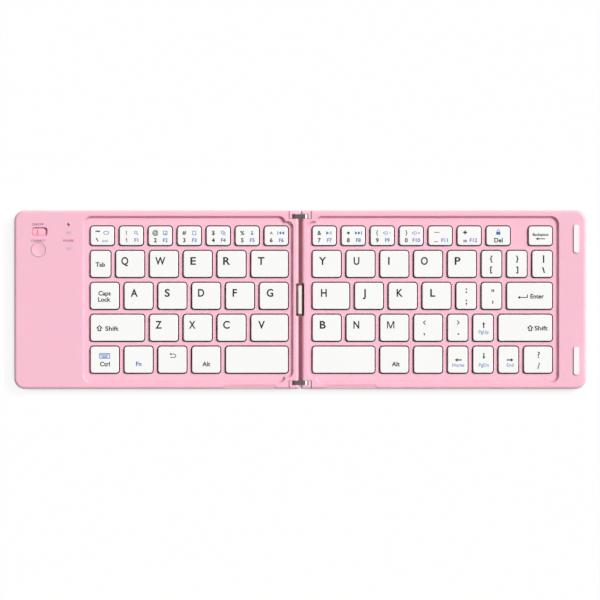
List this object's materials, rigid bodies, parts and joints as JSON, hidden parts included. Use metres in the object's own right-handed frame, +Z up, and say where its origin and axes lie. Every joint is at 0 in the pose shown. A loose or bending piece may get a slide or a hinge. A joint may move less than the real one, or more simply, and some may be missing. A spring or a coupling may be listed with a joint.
{
  "type": "folding keyboard",
  "caption": "Slim compact keyboard that closes like a book on a double-pivot hinge, with chiclet keys in a sunken deck, a power slider and a pairing button.",
  "frame": {"origin": "middle of the opened keyboard on the table, under the hinge", "axes": "+X to the user's right, +Y away from the user, +Z up out of the key tops"},
  "size_m": [0.3046, 0.095, 0.0087],
  "materials": {
    "pink_case_plastic": "fine matt moulded",
    "pink_painted_zinc": "satin paint",
    "white_cap_plastic": "satin moulded",
    "dark_steel": "dark satin",
    "bright_steel": "satin",
    "plate_steel": "rolled sheet",
    "dome_silicone": "matt",
    "circuit_board": "solder mask",
    "battery_foil": "foil pouch",
    "cable_film": "dark film",
    "guard_plastic": "satin",
    "lens_plastic": "frosted",
    "foot_rubber": "matt",
    "bumper_rubber": "matt"
  },
  "bodies": {
    "left_half": {"left_case_top": "pink_case_plastic", "left_case_bottom": "pink_case_plastic", "left_hinge_brackets": "pink_painted_zinc", "left_key_plate": "plate_steel", "left_dome_sheet": "dome_silicone", "main_board": "circuit_board", "battery": "battery_foil", "charging_socket": "bright_steel", "indicator_lenses": "lens_plastic", "left_feet": "foot_rubber", "left_screws": "bright_steel", "left_flex_cable": "cable_film"},
    "hinge": {"hinge_links": "dark_steel", "hinge_pins": "bright_steel", "flex_cable_bridge": "cable_film", "cable_guard": "guard_plastic"},
    "right_half": {"right_case_top": "pink_case_plastic", "right_case_bottom": "pink_case_plastic", "right_hinge_brackets": "pink_painted_zinc", "right_key_plate": "plate_steel", "right_dome_sheet": "dome_silicone", "link_board": "circuit_board", "end_bumpers": "bumper_rubber", "right_feet": "foot_rubber", "right_screws": "bright_steel", "right_flex_cable": "cable_film"},
    "power_slider": {"power_slider": "pink_case_plastic"},
    "pairing_button": {"pairing_button": "pink_case_plastic"},
    "number_keys_left": {"number_keys_left": "white_cap_plastic"},
    "key_tab": {"key_tab": "white_cap_plastic"},
    "upper_letters_left": {"upper_letters_left": "white_cap_plastic"},
    "key_caps_lock": {"key_caps_lock": "white_cap_plastic"},
    "key_a": {"key_a": "white_cap_plastic"},
    "key_s": {"key_s": "white_cap_plastic"},
    "key_d": {"key_d": "white_cap_plastic"},
    "key_f": {"key_f": "white_cap_plastic"},
    "key_g": {"key_g": "white_cap_plastic"},
    "key_shift_left": {"key_shift_left": "white_cap_plastic"},
    "lower_letters_left": {"lower_letters_left": "white_cap_plastic"},
    "key_control": {"key_control": "white_cap_plastic"},
    "key_function": {"key_function": "white_cap_plastic"},
    "key_menu_left": {"key_menu_left": "white_cap_plastic"},
    "key_alt_left": {"key_alt_left": "white_cap_plastic"},
    "key_space_left": {"key_space_left": "white_cap_plastic"},
    "number_keys_right": {"number_keys_right": "white_cap_plastic"},
    "key_backspace": {"key_backspace": "white_cap_plastic"},
    "upper_letters_right": {"upper_letters_right": "white_cap_plastic"},
    "bracket_keys": {"bracket_keys": "white_cap_plastic"},
    "home_keys_right": {"home_keys_right": "white_cap_plastic"},
    "key_enter": {"key_enter": "white_cap_plastic"},
    "lower_letters_right": {"lower_letters_right": "white_cap_plastic"},
    "key_arrow_up": {"key_arrow_up": "white_cap_plastic"},
    "key_shift_right": {"key_shift_right": "white_cap_plastic"},
    "key_space_right": {"key_space_right": "white_cap_plastic"},
    "key_alt_right": {"key_alt_right": "white_cap_plastic"},
    "key_menu_right": {"key_menu_right": "white_cap_plastic"},
    "key_arrow_left": {"key_arrow_left": "white_cap_plastic"},
    "key_arrow_down": {"key_arrow_down": "white_cap_plastic"},
    "key_arrow_right": {"key_arrow_right": "white_cap_plastic"},
    "key_slash": {"key_slash": "white_cap_plastic"}
  },
  "joints": [
    {"name": "left_fold", "type": "hinge", "parent": "left_half", "child": "hinge", "pos_m": [-0.00195, 0, 0.00645], "axis": [0, -1, 0], "range_deg": [0, 90]},
    {"name": "right_fold", "type": "hinge", "parent": "hinge", "child": "right_half", "pos_m": [0.00195, 0, 0.00645], "axis": [0, -1, 0], "range_deg": [0, 90]},
    {"name": "power_slide", "type": "slide", "parent": "left_half", "child": "power_slider", "axis": [1, 0, 0], "range_m": [0, 0.0016]},
    {"name": "pairing_press", "type": "slide", "parent": "left_half", "child": "pairing_button", "axis": [0, 0, -1], "range_m": [0, 0.0004], "stiffness_N_per_m": 400, "springref_m": -0.0004},
    {"name": "number_keys_left_press", "type": "slide", "parent": "left_half", "child": "number_keys_left", "axis": [0, 0, -1], "range_m": [0, 0.0015], "stiffness_N_per_m": 1050, "springref_m": -0.0015},
    {"name": "key_tab_press", "type": "slide", "parent": "left_half", "child": "key_tab", "axis": [0, 0, -1], "range_m": [0, 0.0015], "stiffness_N_per_m": 150, "springref_m": -0.0015},
    {"name": "upper_letters_left_press", "type": "slide", "parent": "left_half", "child": "upper_letters_left", "axis": [0, 0, -1], "range_m": [0, 0.0015], "stiffness_N_per_m": 750, "springref_m": -0.0015},
    {"name": "key_caps_lock_press", "type": "slide", "parent": "left_half", "child": "key_caps_lock", "axis": [0, 0, -1], "range_m": [0, 0.0015], "stiffness_N_per_m": 150, "springref_m": -0.0015},
    {"name": "key_a_press", "type": "slide", "parent": "left_half", "child": "key_a", "axis": [0, 0, -1], "range_m": [0, 0.0015], "stiffness_N_per_m": 150, "springref_m": -0.0015},
    {"name": "key_s_press", "type": "slide", "parent": "left_half", "child": "key_s", "axis": [0, 0, -1], "range_m": [0, 0.0015], "stiffness_N_per_m": 150, "springref_m": -0.0015},
    {"name": "key_d_press", "type": "slide", "parent": "left_half", "child": "key_d", "axis": [0, 0, -1], "range_m": [0, 0.0015], "stiffness_N_per_m": 150, "springref_m": -0.0015},
    {"name": "key_f_press", "type": "slide", "parent": "left_half", "child": "key_f", "axis": [0, 0, -1], "range_m": [0, 0.0015], "stiffness_N_per_m": 150, "springref_m": -0.0015},
    {"name": "key_g_press", "type": "slide", "parent": "left_half", "child": "key_g", "axis": [0, 0, -1], "range_m": [0, 0.0015], "stiffness_N_per_m": 150, "springref_m": -0.0015},
    {"name": "key_shift_left_press", "type": "slide", "parent": "left_half", "child": "key_shift_left", "axis": [0, 0, -1], "range_m": [0, 0.0015], "stiffness_N_per_m": 150, "springref_m": -0.0015},
    {"name": "lower_letters_left_press", "type": "slide", "parent": "left_half", "child": "lower_letters_left", "axis": [0, 0, -1], "range_m": [0, 0.0015], "stiffness_N_per_m": 600, "springref_m": -0.0015},
    {"name": "key_control_press", "type": "slide", "parent": "left_half", "child": "key_control", "axis": [0, 0, -1], "range_m": [0, 0.0015], "stiffness_N_per_m": 150, "springref_m": -0.0015},
    {"name": "key_function_press", "type": "slide", "parent": "left_half", "child": "key_function", "axis": [0, 0, -1], "range_m": [0, 0.0015], "stiffness_N_per_m": 150, "springref_m": -0.0015},
    {"name": "key_menu_left_press", "type": "slide", "parent": "left_half", "child": "key_menu_left", "axis": [0, 0, -1], "range_m": [0, 0.0015], "stiffness_N_per_m": 150, "springref_m": -0.0015},
    {"name": "key_alt_left_press", "type": "slide", "parent": "left_half", "child": "key_alt_left", "axis": [0, 0, -1], "range_m": [0, 0.0015], "stiffness_N_per_m": 150, "springref_m": -0.0015},
    {"name": "key_space_left_press", "type": "slide", "parent": "left_half", "child": "key_space_left", "axis": [0, 0, -1], "range_m": [0, 0.0015], "stiffness_N_per_m": 150, "springref_m": -0.0015},
    {"name": "number_keys_right_press", "type": "slide", "parent": "right_half", "child": "number_keys_right", "axis": [0, 0, -1], "range_m": [0, 0.0015], "stiffness_N_per_m": 1050, "springref_m": -0.0015},
    {"name": "key_backspace_press", "type": "slide", "parent": "right_half", "child": "key_backspace", "axis": [0, 0, -1], "range_m": [0, 0.0015], "stiffness_N_per_m": 150, "springref_m": -0.0015},
    {"name": "upper_letters_right_press", "type": "slide", "parent": "right_half", "child": "upper_letters_right", "axis": [0, 0, -1], "range_m": [0, 0.0015], "stiffness_N_per_m": 750, "springref_m": -0.0015},
    {"name": "bracket_keys_press", "type": "slide", "parent": "right_half", "child": "bracket_keys", "axis": [0, 0, -1], "range_m": [0, 0.0015], "stiffness_N_per_m": 450, "springref_m": -0.0015},
    {"name": "home_keys_right_press", "type": "slide", "parent": "right_half", "child": "home_keys_right", "axis": [0, 0, -1], "range_m": [0, 0.0015], "stiffness_N_per_m": 900, "springref_m": -0.0015},
    {"name": "key_enter_press", "type": "slide", "parent": "right_half", "child": "key_enter", "axis": [0, 0, -1], "range_m": [0, 0.0015], "stiffness_N_per_m": 150, "springref_m": -0.0015},
    {"name": "lower_letters_right_press", "type": "slide", "parent": "right_half", "child": "lower_letters_right", "axis": [0, 0, -1], "range_m": [0, 0.0015], "stiffness_N_per_m": 750, "springref_m": -0.0015},
    {"name": "key_arrow_up_press", "type": "slide", "parent": "right_half", "child": "key_arrow_up", "axis": [0, 0, -1], "range_m": [0, 0.0015], "stiffness_N_per_m": 150, "springref_m": -0.0015},
    {"name": "key_shift_right_press", "type": "slide", "parent": "right_half", "child": "key_shift_right", "axis": [0, 0, -1], "range_m": [0, 0.0015], "stiffness_N_per_m": 150, "springref_m": -0.0015},
    {"name": "key_space_right_press", "type": "slide", "parent": "right_half", "child": "key_space_right", "axis": [0, 0, -1], "range_m": [0, 0.0015], "stiffness_N_per_m": 150, "springref_m": -0.0015},
    {"name": "key_alt_right_press", "type": "slide", "parent": "right_half", "child": "key_alt_right", "axis": [0, 0, -1], "range_m": [0, 0.0015], "stiffness_N_per_m": 150, "springref_m": -0.0015},
    {"name": "key_menu_right_press", "type": "slide", "parent": "right_half", "child": "key_menu_right", "axis": [0, 0, -1], "range_m": [0, 0.0015], "stiffness_N_per_m": 150, "springref_m": -0.0015},
    {"name": "key_arrow_left_press", "type": "slide", "parent": "right_half", "child": "key_arrow_left", "axis": [0, 0, -1], "range_m": [0, 0.0015], "stiffness_N_per_m": 150, "springref_m": -0.0015},
    {"name": "key_arrow_down_press", "type": "slide", "parent": "right_half", "child": "key_arrow_down", "axis": [0, 0, -1], "range_m": [0, 0.0015], "stiffness_N_per_m": 150, "springref_m": -0.0015},
    {"name": "key_arrow_right_press", "type": "slide", "parent": "right_half", "child": "key_arrow_right", "axis": [0, 0, -1], "range_m": [0, 0.0015], "stiffness_N_per_m": 150, "springref_m": -0.0015},
    {"name": "key_slash_press", "type": "slide", "parent": "right_half", "child": "key_slash", "axis": [0, 0, -1], "range_m": [0, 0.0015], "stiffness_N_per_m": 150, "springref_m": -0.0015}
  ]
}
